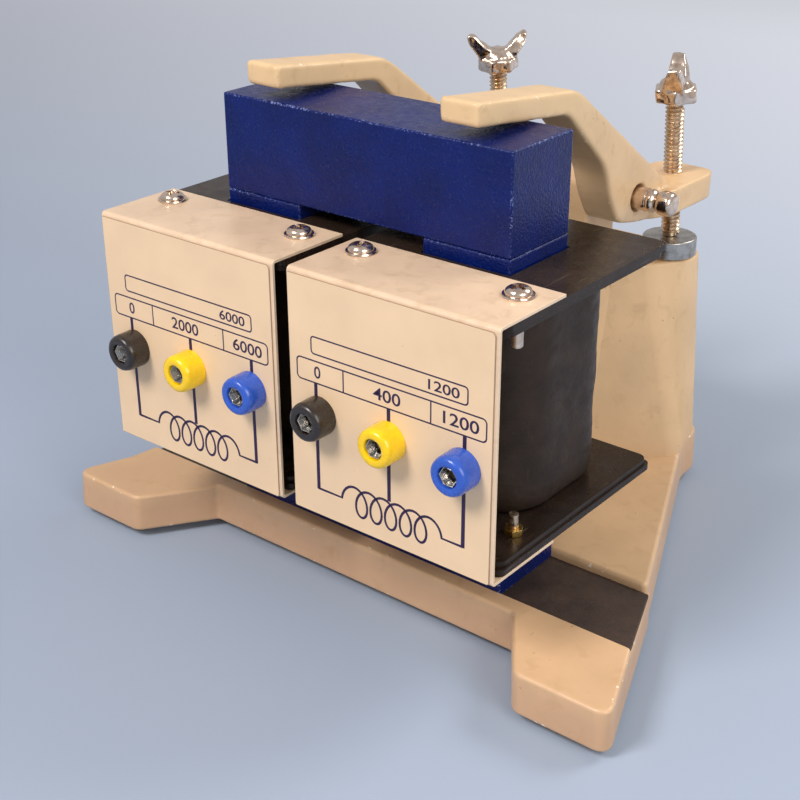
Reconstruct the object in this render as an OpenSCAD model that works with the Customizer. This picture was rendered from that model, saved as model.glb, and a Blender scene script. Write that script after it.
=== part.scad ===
// Dissectible (demountable) transformer on a cast stand.
// A U-core and its yoke, two boxed coils with 4 mm sockets, and two clamp arms
// that pivot on one pin and are worked by wing screws behind the tower.
// Millimetres, +Z up, bench at z = 0, panels facing -Y. The sub-parts are
// drawn about the middle of the core, and home() then moves them so that the
// origin lies under the middle of the whole object.

/* [Core] */
// side of the core's section, along X and Z
core_sec = 32; // [29:0.5:35]
// depth of the lamination stack, along Y
core_depth = 31; // [29:0.5:33]
// length of the yoke and width of the U-core
yoke_len = 114; // [112:0.5:120]
// height of the U-core's legs above the pad
core_h = 115; // [108:0.5:122]
// how far the core stands right of the stand's middle
core_shift = 0.4; // [-2:0.1:2]

/* [Stand] */
// thickness of the cast base at the front
base_h = 14.5; // [12:0.5:18]
// width of the base over its front feet
base_w = 234; // [226:1:245]
// how far the feet reach in front of the core's middle
foot_reach = 46; // [43:1:52]
// height of the rubber feet under the casting
foot_h = 3; // [2:0.5:5]
// diameter of the rubber feet
foot_d = 14; // [11:0.5:16]
// step behind the pad that locates the core
step_h = 2.7; // [1.5:0.1:4]
// thickness of the pad under the core
pad_t = 1.5; // [1:0.1:2]
// from the pivot pin down to the tower's top
tower_drop = 32.1; // [29:0.1:35]
// from the pivot pin back to the stand's rear edge
tail_reach = 54.8; // [50:0.2:58]
// width of the lug that carries the pivot pin
lug_w = 62; // [56:1:66]
// thickness of the lug along Y
lug_t = 18.5; // [16:0.5:21]
// taper of the tower's sides, in mm over its height
tower_taper = 6; // [3:0.5:8]

/* [Coils] */
// gap between the covers of the two coils
coil_gap = 5.6; // [4.6:0.2:8]
// sheet thickness of the covers
cover_t = 1; // [0.8:0.1:1.2]
// thickness of the printed plate on a cover's panel
label_t = 0.4; // [0.3:0.1:0.8]
// from the core's middle to the face of the panel
panel_y = 52.1; // [50:0.1:56]
// how deep the cover's top and bottom flanges reach back
cover_depth = 31.8; // [29.5:0.1:33]
// thickness of the bobbin's end flanges
flange_t = 2.2; // [1.8:0.1:2.6]
// thickness of the loose cheek plates on the flanges
cheek_t = 2; // [1.4:0.1:2.4]
// how far the flanges reach behind the core's middle
flange_back = 38.5; // [34:0.5:44]
// wall of the bobbin's tube
tube_t = 1.5; // [1:0.1:2]
// build of the winding outside the bobbin's tube
wind_build = 11.5; // [8:0.5:13]
// free height between the coil and the yoke
coil_play = 4.4; // [4.3:0.1:6]

/* [Sockets] */
// diameter of the coloured collars
collar_d = 12; // [11:0.2:13]
// how far the collars stand out of the panel
collar_l = 7.8; // [6:0.2:9]
// from a cover's side in to the outer sockets
socket_inset = 11.6; // [10:0.2:15]
// bore of the sockets
socket_bore = 4; // [3.9:0.1:4.1]
// height of the sockets above the bottom of the coil
socket_up = 34.9; // [30:0.1:40]

/* [Clamps] */
// diameter of the pivot pin
pin_d = 8; // [7:0.1:9]
// from the core's middle back to the pivot pin
pin_back = 79.2; // [76:0.2:84]
// from the top of the yoke down to the pivot pin
pin_down = 39.1; // [37:0.1:41]
// from the pivot pin back to the wing screws
screw_back = 36.3; // [34:0.1:38]
// width of a clamp arm
arm_w = 14; // [12.5:0.5:15]
// thickness of the arm's front bar
arm_t = 7.6; // [6:0.2:9]
// width and thickness of the plate at the back of an arm
plate_w = 24.4; // [20:0.2:25]
plate_t = 9.4; // [8:0.1:11]
// diameter of the wing screws
screw_d = 7; // [6:0.1:8]
// thread pitch of the wing screws
screw_pitch = 1.5; // [1.25:0.05:1.75]
// how far the right wing head stands above the plate
head_up = 26.4; // [24:0.2:30]
// how much further the left screw stands out
left_extra = 0.6; // [0:0.2:4]
// how far the wings are turned
left_turn = -35; // [-180:1:180]
right_turn = 108; // [-180:1:180]
// diameter of the wing heads' collars
head_d = 14.6; // [13:0.2:16]
// diameter of the thrust discs on the tower
disc_d = 20; // [17:0.5:21]
// thickness of the thrust discs
disc_h = 7; // [5:0.5:8]

/* [Hidden] */
$fn = 48;

cream = [0.87, 0.77, 0.60];
navy = [0.07, 0.11, 0.38];
black = [0.11, 0.10, 0.10];
phenolic = [0.17, 0.14, 0.13];
rubber = [0.08, 0.08, 0.08];
steel = [0.62, 0.62, 0.62];
nickel = [0.72, 0.69, 0.63];
brass = [0.72, 0.57, 0.28];
yellow = [0.96, 0.82, 0.04];
blue = [0.12, 0.28, 0.72];

fit = 0.05;                          // radial clearance of running fits
touch = 0.02;                        // gap between faces that meet
eps = 0.01;                          // overlap of shapes in one solid

pad_z = foot_h + base_h;             // top of the pad, where the core sits
leg_top = pad_z + core_h;
yoke_top = leg_top + core_sec;
leg_x = (yoke_len - core_sec) / 2;   // middle of each leg and of each coil
half_depth = core_depth / 2;

pin_z = yoke_top - pin_down;
tower_z = pin_z - tower_drop;              // top of the tower, under the discs
lean = 5;                            // the screws lean forward by this angle
lug_top = pin_z + 6.6;
arm_x = (lug_w + arm_w) / 2 + 0.3;   // middle of an arm
screw_z = -0.4;                      // top of an arm's plate, from the pin
disc_top = tower_z + disc_h - pin_z;
disc_y = pin_back + screw_back + (screw_z - disc_top) * tan(lean);

// the base's outer sides: x at a given y, before and behind the step
step_y = half_depth + 0.6;
function side_front(y) = base_w / 2 - 16.4 - 0.36 * y;
function side_back(y) = side_front(step_y) - 0.42 * (y - step_y);
tail_y = pin_back + screw_back;      // where the sides turn straight back
tail_x = side_back(tail_y);
back_y = pin_back + tail_reach;            // rear edge of the stand
home_y = (panel_y + collar_l - back_y) / 2;

coil_z0 = pad_z + core_sec + fit;    // underside of a bobbin
coil_z1 = leg_top - coil_play;       // top of a bobbin
coil_h = coil_z1 - coil_z0;
tube_x = core_sec / 2 + 0.5;         // inside of the bobbin's tube
tube_y = half_depth + 0.5;
wind_x = tube_x + tube_t + wind_build;
wind_y = tube_y + tube_t + wind_build;
wind_r = 20;                         // corner radius of the taped winding
skin = label_t + cover_t;            // panel's face to the cover's inside
flange_front = panel_y - skin - 3;
cover_w = 2 * leg_x - coil_gap;       // width of a coil cover
socket_pitch = cover_w / 2 - socket_inset;
flange_w = cover_w - 0.4;
screw_hole = 4.2;
top_x = cover_w / 2 - 9.7;           // screws in the cover's top flange
top_y = panel_y - 22.8;
low_x = cover_w / 2 - 8;             // screws in the bottom flange
low_y = panel_y - 22.1;
sock_z = coil_z0 + socket_up - 0.2;
sock_x = [for (i = [-1:1]) 0.6 + i * socket_pitch];
tail_l = 8;                          // socket's solder tail, behind the cover

// ---- helpers ----
module home() {
  translate([0, home_y, 0]) children();
}

module at_coil(s) {
  home() translate([core_shift + s * leg_x, 0, 0]) children();
}

module at_pin(s) {
  home() translate([0, pin_back, pin_z]) mirror([s < 0 ? 1 : 0, 0, 0])
    children();
}

module at_screw(s) {
  at_pin(s) translate([arm_x, screw_back, screw_z]) rotate([lean, 0, 0])
    children();
}

// outline of 2x by 2y with rounded corners
module rounded(x, y, r) {
  union() {
    square([2 * (x - r), 2 * y], center = true);
    square([2 * x, 2 * (y - r)], center = true);
    for (i = [-1, 1]) for (j = [-1, 1])
      translate([i * (x - r), j * (y - r)]) circle(r = r);
  }
}

// extrude a (y, z) profile along X, over a length w from x0
module along_x(x0, w) {
  translate([x0, 0, 0])
    rotate([90, 0, 90]) linear_extrude(height = w) children();
}

module rod_x(x0, w, r) {
  translate([x0, 0, 0]) rotate([0, 90, 0]) cylinder(r = r, h = w);
}

function arc(cx, cy, r, a0, a1, n) =
  [for (i = [0:n]) [cx + r * cos(a0 + (a1 - a0) * i / n),
                    cy + r * sin(a0 + (a1 - a0) * i / n)]];
function flip(p) = [for (i = [len(p) - 1:-1:0]) [-p[i][0], p[i][1]]];

module mirrored(half) {
  polygon(concat(half, flip(half)));
}

// ---- stand ----
foot_in = base_w / 2 - 33;           // inner corner of a front foot
bar_front = half_depth + 5.5;        // front face of the crossbar
foot_hole = [base_w / 2 - 17, 15 - foot_reach];
tail_hole = [tail_x - 12, pin_back + 40];

tail_side = concat(
  [[tail_x, tail_y], [tail_x, back_y - 10]],
  arc(tail_x - 6, back_y - 6, 6, 0, 90, 4));

base_half = concat(
  [[foot_in - 17.5, -bar_front]],
  arc(foot_in + 1.5, 3 - foot_reach, 3, -145, -90, 3),
  arc(base_w / 2 - 5.6, 5 - foot_reach, 5, -90, 19, 5),
  [[side_front(step_y), step_y]],
  tail_side);

// the part behind the step, with a rounded end to its lip
rear_half = concat(
  arc(side_front(step_y) - 3.4, step_y + 2.5, 2.5, -90, 20, 4),
  tail_side);

tower_half = arm_x + 10;             // half width of the tower at its top
tower_foot = [[tower_half - 7.5, pin_back + 7],
  [side_back(pin_back + 23.3) - 0.2, pin_back + 23.3],
  [tail_x - 0.2, tail_y], [tail_x - 0.2, back_y - 9],
  [tail_x - 6, back_y - 0.8]];
tower_top = [[tower_half - 9.3 - tower_taper, pin_back + 16],
  [tower_half - 8.3, pin_back + 23.5], [tower_half - 1.7, pin_back + 32],
  [tower_half, pin_back + 38], [tower_half, back_y - 10.8],
  [tower_half - 4.3, back_y - 4.3]];

module lug_profile() {
  y0 = pin_back - lug_t / 2;
  y1 = pin_back + lug_t / 2;
  r = 4;
  polygon(concat(
    [[y0, foot_h + 2]],
    arc(y0 + r, lug_top - r, r, 180, 90, 4),
    arc(y1 - r, lug_top - r, r, 90, 0, 4),
    [[y1, tower_z - 6], [y1 + 10, tower_z - 20], [y1 + 10, foot_h + 2]]));
}

module stand() {
  color(cream) home() difference() {
    union() {
      translate([0, 0, foot_h]) linear_extrude(height = base_h)
        mirrored(base_half);
      translate([0, 0, foot_h]) linear_extrude(height = base_h + step_h)
        mirrored(rear_half);
      hull() {
        translate([0, 0, foot_h + 1]) linear_extrude(height = base_h)
          mirrored(tower_foot);
        translate([0, 0, tower_z - 1.5]) linear_extrude(height = 1.5)
          mirrored(tower_top);
      }
      along_x(-lug_w / 2, lug_w) lug_profile();
    }
    // channel for the pad
    translate([-base_w, -half_depth - 0.2, pad_z - pad_t])
      cube([2 * base_w, half_depth + 0.2 + step_y, pad_t + step_h + 1]);
    // bore for the pivot pin
    translate([0, pin_back, pin_z]) rod_x(-lug_w, 2 * lug_w, pin_d / 2);
    // sockets for the discs' spigots
    for (s = [-1, 1]) translate([s * arm_x, disc_y, tower_z - 7])
      cylinder(d = 6, h = 10);
    // holes for the rubber feet's plugs
    for (s = [-1, 1]) for (p = [foot_hole, tail_hole])
      translate([s * p[0], p[1], 0]) cylinder(d = 6, h = foot_h + 6);
  }
}

module seat_pad() {
  y0 = -half_depth;
  y1 = half_depth + 0.4;
  color(phenolic) home()
  translate([0, 0, pad_z - pad_t]) linear_extrude(height = pad_t)
    mirrored([[side_front(y0) - 0.4, y0], [side_front(y1) - 0.4, y1]]);
}

module rubber_foot(s, p) {
  color(rubber) home() translate([s * p[0], p[1], 0]) union() {
    cylinder(d1 = foot_d - 1, d2 = foot_d, h = foot_h);
    translate([0, 0, foot_h - eps]) cylinder(d = 6, h = 5);
  }
}

module pivot_pin() {
  r = pin_d / 2;
  half = lug_w / 2 + arm_w + 5.6;    // where the grip's groove starts
  groove = 1.5;
  grip = 7;
  color(steel) at_pin(1) union() {
    rod_x(-half, 2 * half, r);
    for (s = [0, 1]) mirror([s, 0, 0]) {
      rod_x(half - eps, groove + 1, r - 1.1);
      translate([half + groove, 0, 0]) rotate([0, 90, 0]) rotate_extrude()
        intersection() {
          translate([0, grip / 2]) scale([r + 0.2, grip / 2 + 0.3])
            circle(r = 1);
          translate([0, 0]) square([r + 1, grip]);
        }
    }
  }
}

module thrust_disc(s) {
  edge = 0.6;
  color(steel) home() translate([s * arm_x, disc_y, tower_z]) union() {
    cylinder(d = disc_d, h = disc_h - edge);
    translate([0, 0, disc_h - edge - eps])
      cylinder(d1 = disc_d, d2 = disc_d - 2 * edge, h = edge + eps);
    translate([0, 0, -6]) cylinder(d = 6, h = 6.5);
  }
}

// ---- core ----
module u_core() {
  color(navy) home() translate([core_shift, 0, pad_z]) difference() {
    along_x(-yoke_len / 2, yoke_len)
      polygon([[-half_depth, 0], [half_depth, 0], [half_depth, core_h],
        [-half_depth, core_h]]);
    translate([core_sec - yoke_len / 2, -core_depth, core_sec])
      cube([yoke_len - 2 * core_sec, 2 * core_depth, core_h]);
  }
}

module yoke() {
  b = 0.5;                           // worn edges along the top
  color(navy) home() translate([core_shift, 0, 0])
  along_x(-yoke_len / 2, yoke_len)
    polygon([[-half_depth, leg_top], [half_depth, leg_top],
      [half_depth, yoke_top - b], [half_depth - b, yoke_top],
      [b - half_depth, yoke_top], [-half_depth, yoke_top - b]]);
}

// ---- coils: drawn at x = 0, and at_coil() moves them to a leg ----
module flange_outline(inset, r) {
  x = flange_w / 2 - inset;
  back = flange_back - inset;
  front = flange_front - inset;
  difference() {
    translate([0, (back - front) / 2]) rounded(x, (back + front) / 2, r);
    for (i = [-1, 1]) {
      translate([i * top_x, -top_y]) circle(d = screw_hole);
      translate([i * low_x, -low_y]) circle(d = screw_hole);
    }
  }
}

module tube_outline(gap) {
  square([2 * (tube_x + tube_t + gap), 2 * (tube_y + tube_t + gap)],
    center = true);
}

module bobbin(s) {
  color(phenolic) at_coil(s) difference() {
    union() {
      for (z = [coil_z0, coil_z1 - flange_t])
        translate([0, 0, z]) linear_extrude(height = flange_t)
          flange_outline(0, 2.5);
      translate([0, 0, coil_z0]) linear_extrude(height = coil_h)
        tube_outline(0);
    }
    translate([-tube_x, -tube_y, coil_z0 - 1])
      cube([2 * tube_x, 2 * tube_y, coil_h + 2]);
  }
}

module cheek(s, z) {
  color(black) at_coil(s) translate([0, 0, z])
  linear_extrude(height = cheek_t) difference() {
    flange_outline(0.7, 3.5);
    tube_outline(0.1);
  }
}

module winding(s) {
  z0 = coil_z0 + flange_t + cheek_t + touch;
  z1 = coil_z1 - flange_t - cheek_t - touch;
  color(black) at_coil(s) translate([0, 0, z0])
  linear_extrude(height = z1 - z0) difference() {
    rounded(wind_x, wind_y, wind_r);
    tube_outline(0.1);
  }
}

module cover(s) {
  y0 = label_t - panel_y;
  color(cream) at_coil(s) difference() {
    union() {
      translate([-cover_w / 2, y0, coil_z0 - cover_t])
        cube([cover_w, cover_t, coil_h + 2 * cover_t]);
      for (z = [coil_z0 - cover_t, coil_z1])
        translate([-cover_w / 2, y0, z])
          cube([cover_w, cover_depth, cover_t]);
    }
    for (x = sock_x) translate([x, y0 - 1, sock_z]) rotate([-90, 0, 0])
      cylinder(d = 8.4, h = cover_t + 2);
    for (i = [-1, 1]) {
      translate([i * top_x, -top_y, coil_z1 - 1])
        cylinder(d = screw_hole, h = cover_t + 2);
      translate([i * low_x, -low_y, coil_z0 - cover_t - 1])
        cylinder(d = screw_hole, h = cover_t + 2);
    }
  }
}

module label(s) {
  edge = 0.2;
  color(cream) at_coil(s) difference() {
    translate([edge - cover_w / 2, -panel_y, coil_z0 - cover_t + edge])
      cube([cover_w - 2 * edge, label_t, coil_h + 2 * (cover_t - edge)]);
    for (x = sock_x) translate([x, -panel_y - 1, sock_z])
      rotate([-90, 0, 0]) cylinder(d = 8.4, h = label_t + 2);
  }
}

// socket i of a panel: z = 0 is the panel's face, +z points out of it
module at_socket(s, i) {
  at_coil(s) translate([sock_x[i], -panel_y, sock_z]) rotate([90, 0, 0])
    children();
}

liner_d = 6.4;                       // outside of a socket's metal tube

module collar(s, i) {
  at_socket(s, i) difference() {
    union() {
      cylinder(d1 = collar_d + 0.8, d2 = collar_d + 0.2, h = collar_l - 1);
      translate([0, 0, collar_l - 1 - eps])
        cylinder(d1 = collar_d + 0.2, d2 = collar_d - 1.4, h = 1 + eps);
      translate([0, 0, -skin]) cylinder(d = 8.3, h = skin + 0.5);
    }
    translate([0, 0, -5]) cylinder(d = liner_d + 2 * fit, h = collar_l + 10);
  }
}

module socket_tube(s, i) {
  nut_h = 2.6;
  color(nickel) at_socket(s, i) difference() {
    union() {
      translate([0, 0, -skin - 4])
        cylinder(d = liner_d, h = skin + 3.4 + collar_l);
      translate([0, 0, -skin - nut_h]) cylinder(d = 10, h = nut_h, $fn = 6);
      translate([0, 0, -skin - tail_l]) cylinder(d = 3, h = 5);
    }
    translate([0, 0, -skin - 3]) cylinder(d = socket_bore, h = 30);
    // lead-in
    translate([0, 0, collar_l - 1.9])
      cylinder(d1 = socket_bore, d2 = 6, h = 1.31);
  }
}

// insulated lead from a socket's tail down to the face of the winding
module lead(s, i) {
  r = 0.9;
  blob = 1.3;                        // sleeve over each soldered end
  flat = wind_x - wind_r + 1;
  a = [sock_x[i], skin + tail_l + blob + touch - panel_y, sock_z];
  b = [max(-flat, min(flat, sock_x[i])), -wind_y - blob - touch, sock_z - 14];
  d = b - a;
  end = asin(r / blob);              // where the sleeve meets the lead
  color(rubber) at_coil(s) translate(a)
    rotate([0, acos(d[2] / norm(d)), atan2(d[1], d[0])])
      rotate_extrude($fn = 24) polygon(concat(
        arc(0, 0, blob, -90, 90 - end, 6),
        arc(0, norm(d), blob, end - 90, 90, 6)));
}

// pan-head screw with its washer, from above
module top_screw(s, i) {
  grip = cover_t + flange_t + cheek_t;
  color(nickel) at_coil(s) translate([i * top_x, -top_y, coil_z1 + cover_t])
  difference() {
    union() {
      cylinder(d = 9.5, h = 0.9);
      translate([0, 0, 0.8]) cylinder(d = 8, h = 1.2);
      translate([0, 0, 2 - eps]) cylinder(d1 = 8, d2 = 5, h = 0.9);
      translate([0, 0, -grip - 4]) cylinder(d = 3.9, h = grip + 4.5);
    }
    for (a = [0, 90]) rotate([0, 0, a + 20 * i])
      translate([-2.2, -0.5, 1.5]) cube([4.4, 1, 3]);
  }
}

// screw from below, and the brass nut that it stands up through
module low_screw(s, i) {
  color(nickel) at_coil(s)
  translate([i * low_x, -low_y, coil_z0 - cover_t])
  difference() {
    union() {
      translate([0, 0, -1.8]) cylinder(d1 = 5, d2 = 6, h = 1.8);
      translate([0, 0, -0.5]) cylinder(d = 3, h = 12.5);
    }
    for (a = [0, 90]) rotate([0, 0, a])
      translate([-1.5, -0.35, -3]) cube([3, 0.7, 2.2]);
  }
}

module low_nut(s, i) {
  z = coil_z0 + flange_t + cheek_t;
  color(brass) at_coil(s) translate([i * low_x, -low_y, z]) difference() {
    cylinder(d = 6.35, h = 2.2, $fn = 6);
    translate([0, 0, -1]) cylinder(d = 3, h = 5);
  }
}

// ---- clamps: (y, z) measured from the pin ----
bar_fall = 0.119;                    // fall of the front bar, per mm of y
bar_gap = 0.6;                       // between the yoke's rear edge and the bar
yoke_rear = half_depth - pin_back;
function under(y) = pin_down + bar_gap - bar_fall * (y - yoke_rear);
function upper(y) = under(y) + arm_t;
bar_end = -half_depth - pin_back;
plate_end = screw_back + 12.4;
plate_low = screw_z - plate_t;

arm_side = concat(
  [[bar_end, under(bar_end) + 0.8], [bar_end + 0.6, under(bar_end)]],
  [[-49.5, under(-49.5)], [-46.6, under(-46.6) - 0.6], [-44.2, 35]],
  [[-22.9, 15.8], [-18.4, 3.8], [-15, -3.7], [-12.6, -5.6]],
  [[-8, -7.5], [-1.5, plate_low + 0.9], [6, plate_low]],
  [[plate_end - 1, plate_low], [plate_end - 1, screw_z + 0.3]],
  [[22, screw_z], [18, screw_z + 1]],
  [[-37.5, 41.7], [-40.6, 43.6], [-44, upper(-44) - 0.1]],
  [[bar_end - 0.4, upper(bar_end)], [bar_end - 0.9, upper(bar_end) - 0.7]]);

module plate_outline() {
  w = plate_w / 2;
  clear = lug_t / 2 + 3.2;           // where the plate has swung past the lug
  polygon([[-arm_w / 2, 7], [arm_w / 2, 7], [w, 16],
    [w, plate_end - 4], [w - 1.2, plate_end - 1.2], [w - 4, plate_end],
    [4 - w, plate_end], [1.2 - w, plate_end - 1.2], [-w, plate_end - 4],
    [-w, clear + 4.5], [-arm_w / 2, clear]]);
}

module arm(s) {
  x0 = arm_x - arm_w / 2;
  color(cream) at_pin(s) difference() {
    union() {
      difference() {
        along_x(x0, arm_w) polygon(arm_side);
        // behind the hub the plate takes over
        translate([x0 - 5, 15, -30]) cube([arm_w + 10, 60, 30 + screw_z]);
      }
      translate([arm_x, 0, plate_low]) linear_extrude(height = plate_t)
        plate_outline();
    }
    rod_x(0, 2 * lug_w, pin_d / 2 + fit);
    // hole for the wing screw
    translate([arm_x, screw_back, screw_z]) rotate([lean, 0, 0])
      translate([0, 0, -20]) cylinder(d = screw_d + 2 * fit, h = 40);
    // relief beside the lug, in front of the hub
    along_x(x0 - 1, 6)
      polygon([[-40, -20], [-26.5, 22], [-23.6, 21.4], [-20.5, 17.5],
        [-12, 7], [-8.6, -2], [-8, -20]]);
  }
}

// wing screw: z = 0 is the top of the plate
stub_d = 5;
tip_r = screw_d / 2 - 1.4;
tip_z = (disc_top - screw_z) / cos(lean) + tip_r * tan(lean) + 0.1;

module shank(s, up) {
  r = screw_d / 2;
  root = r - 0.75;
  start = tip_z + 1.2;
  n = floor((up - 1 - start) / screw_pitch);
  color(nickel) at_screw(s) union() {
    rotate_extrude($fn = 24) polygon(concat(
      [[0, tip_z], [tip_r, tip_z], [root, tip_z + 0.9]],
      [for (i = [0:n - 1]) for (k = [0, 1])
        [root + k * (r - root), start + (i + k / 2) * screw_pitch]],
      [[root, up], [0, up]]));
    translate([0, 0, up - eps]) cylinder(d = stub_d, h = 4);
  }
}

// wing head: its own node, because it turns
module wing(s, up, turn) {
  r = head_d / 2;
  h = 3.9;
  color(nickel) at_screw(s) translate([0, 0, up + touch])
  rotate([0, 0, turn]) difference() {
    union() {
      cylinder(d1 = head_d - 1, d2 = head_d, h = 0.8);
      translate([0, 0, 0.8 - eps]) cylinder(d = head_d, h = h - 0.8);
      translate([0, 0, h - 2 * eps]) cylinder(d1 = head_d - 1, d2 = 8, h = 4.6);
      rotate([90, 0, 0]) translate([0, 0, -1.6]) linear_extrude(height = 3.2)
        polygon([[1 - r, 2], [0.5 - r, 4], [-r - 4.3, 10.8],
          [-r - 4.5, 12.8], [-r - 3.8, 14.2], [-r - 2.2, 14.5],
          [-r + 1, 12], [-3.4, 9.5], [0, 8.7], [3.4, 9.3], [r - 1.1, 11.5],
          [r + 0.6, 13], [r + 2.3, 13.8], [r + 4, 13.3], [r + 4.4, 11.8],
          [r - 0.5, 4], [r - 1, 2]]);
    }
    translate([0, 0, -1]) cylinder(d = stub_d + 2 * fit, h = 5.1);
  }
}

// ---- nodes ----
module foot_front_left() rubber_foot(-1, foot_hole);
module foot_front_right() rubber_foot(1, foot_hole);
module foot_back_left() rubber_foot(-1, tail_hole);
module foot_back_right() rubber_foot(1, tail_hole);
module left_disc() thrust_disc(-1);
module right_disc() thrust_disc(1);
module left_bobbin() bobbin(-1);
module left_cheek_low() cheek(-1, coil_z0 + flange_t);
module left_cheek_top() cheek(-1, coil_z1 - flange_t - cheek_t);
module left_winding() winding(-1);
module left_cover() cover(-1);
module left_label() label(-1);
module left_collar_black() color(rubber) collar(-1, 0);
module left_collar_yellow() color(yellow) collar(-1, 1);
module left_collar_blue() color(blue) collar(-1, 2);
module left_socket_black() socket_tube(-1, 0);
module left_socket_yellow() socket_tube(-1, 1);
module left_socket_blue() socket_tube(-1, 2);
module left_lead_black() lead(-1, 0);
module left_lead_yellow() lead(-1, 1);
module left_lead_blue() lead(-1, 2);
module left_top_screw_a() top_screw(-1, -1);
module left_top_screw_b() top_screw(-1, 1);
module left_low_screw_a() low_screw(-1, -1);
module left_low_nut_a() low_nut(-1, -1);
module left_low_screw_b() low_screw(-1, 1);
module left_low_nut_b() low_nut(-1, 1);
module right_bobbin() bobbin(1);
module right_cheek_low() cheek(1, coil_z0 + flange_t);
module right_cheek_top() cheek(1, coil_z1 - flange_t - cheek_t);
module right_winding() winding(1);
module right_cover() cover(1);
module right_label() label(1);
module right_collar_black() color(rubber) collar(1, 0);
module right_collar_yellow() color(yellow) collar(1, 1);
module right_collar_blue() color(blue) collar(1, 2);
module right_socket_black() socket_tube(1, 0);
module right_socket_yellow() socket_tube(1, 1);
module right_socket_blue() socket_tube(1, 2);
module right_lead_black() lead(1, 0);
module right_lead_yellow() lead(1, 1);
module right_lead_blue() lead(1, 2);
module right_top_screw_a() top_screw(1, -1);
module right_top_screw_b() top_screw(1, 1);
module right_low_screw_a() low_screw(1, -1);
module right_low_nut_a() low_nut(1, -1);
module right_low_screw_b() low_screw(1, 1);
module right_low_nut_b() low_nut(1, 1);
module left_arm() arm(-1);
module left_shank() shank(-1, head_up + left_extra);
module left_wing() wing(-1, head_up + left_extra, left_turn);
module right_arm() arm(1);
module right_shank() shank(1, head_up);
module right_wing() wing(1, head_up, right_turn);

stand();
seat_pad();
foot_front_left();
foot_front_right();
foot_back_left();
foot_back_right();
pivot_pin();
left_disc();
right_disc();
u_core();
yoke();
left_bobbin();
left_cheek_low();
left_cheek_top();
left_winding();
left_cover();
left_label();
left_collar_black();
left_collar_yellow();
left_collar_blue();
left_socket_black();
left_socket_yellow();
left_socket_blue();
left_lead_black();
left_lead_yellow();
left_lead_blue();
left_top_screw_a();
left_top_screw_b();
left_low_screw_a();
left_low_nut_a();
left_low_screw_b();
left_low_nut_b();
right_bobbin();
right_cheek_low();
right_cheek_top();
right_winding();
right_cover();
right_label();
right_collar_black();
right_collar_yellow();
right_collar_blue();
right_socket_black();
right_socket_yellow();
right_socket_blue();
right_lead_black();
right_lead_yellow();
right_lead_blue();
right_top_screw_a();
right_top_screw_b();
right_low_screw_a();
right_low_nut_a();
right_low_screw_b();
right_low_nut_b();
left_arm();
left_shank();
left_wing();
right_arm();
right_shank();
right_wing();
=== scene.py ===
"""Dissectible transformer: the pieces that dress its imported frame."""

import functools
import math

import bmesh
import bpy
from bpy.props import FloatProperty, FloatVectorProperty, PointerProperty
from mathutils import Matrix, Vector, noise


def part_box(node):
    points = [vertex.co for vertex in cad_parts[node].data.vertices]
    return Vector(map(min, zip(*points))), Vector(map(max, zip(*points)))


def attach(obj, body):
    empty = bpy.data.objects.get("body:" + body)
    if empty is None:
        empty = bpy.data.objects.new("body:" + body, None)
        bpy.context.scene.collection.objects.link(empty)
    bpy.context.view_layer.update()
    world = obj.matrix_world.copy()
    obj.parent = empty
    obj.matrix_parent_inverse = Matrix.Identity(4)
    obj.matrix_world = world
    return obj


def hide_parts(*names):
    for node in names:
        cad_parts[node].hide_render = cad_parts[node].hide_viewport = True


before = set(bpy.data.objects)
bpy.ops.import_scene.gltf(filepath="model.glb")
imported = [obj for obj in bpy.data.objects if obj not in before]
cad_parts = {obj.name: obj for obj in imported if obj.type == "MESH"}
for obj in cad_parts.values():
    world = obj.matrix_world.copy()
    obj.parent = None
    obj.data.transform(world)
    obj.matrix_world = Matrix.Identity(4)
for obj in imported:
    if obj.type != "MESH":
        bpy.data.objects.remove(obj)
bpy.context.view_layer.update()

bl_info = {
    "name": "Dissectible transformer",
    "version": (1, 0, 0),
    "blender": (4, 5, 0),
    "location": "3D View > Sidebar > Transformer",
    "description": "Builds the cast stand, core, coils and clamps round the frame",
    "category": "Object",
}

MM = 0.001
SIDES = ("left", "right")
HUES = ("black", "yellow", "blue")


def span(node):
    """Lowest and highest corner of a CAD node, in millimetres."""
    low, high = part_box(node)
    return low / MM, high / MM


def middle(node):
    low, high = span(node)
    return (low + high) / 2


def linear(red, green, blue):
    """A colour written in 0-255, as the linear values that shaders take."""
    def channel(value):
        value /= 255
        if value <= 0.04045:
            return value / 12.92
        return ((value + 0.055) / 1.055) ** 2.4
    return tuple(channel(v) for v in (red, green, blue))


CORE = middle("u_core")
PAD_Z = span("seat_pad")[1].z
PIN = middle("pivot_pin")
SCREW_LEAN = math.radians(5)


def hue(name, description, red, green, blue):
    return FloatVectorProperty(
        name=name, description=description, subtype="COLOR", size=3,
        min=0, max=1, default=linear(red, green, blue))


def length(name, description, mm):
    return FloatProperty(
        name=name, description=description, unit="LENGTH",
        subtype="DISTANCE", default=mm * MM)


class TransformerSizes(bpy.types.PropertyGroup):
    """Sizes of the finish: edges, bends and printed lines"""

    cast_rim: length("Casting rim", "Rounding along the top edges of the stand", 1.3)
    cast_voxel: length("Casting grain", "Grid on which the arms' skin is cast", 0.55)
    core_edge: length("Core edge", "Rounding of the painted core's edges", 0.7)
    sheet_bend: length("Cover bend", "Outer radius of the covers' bends", 1.5)
    tape_wave: length("Tape wave", "How far the taped coil dips between its wires", 1.1)
    print_line: length("Printed line", "Width of the heavy lines on the panels", 1.35)
    thin_line: length("Thin line", "Width of the frames round the numbers", 0.5)
    figure: length("Figures", "Height of the numbers on the panels", 3.9)


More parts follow.
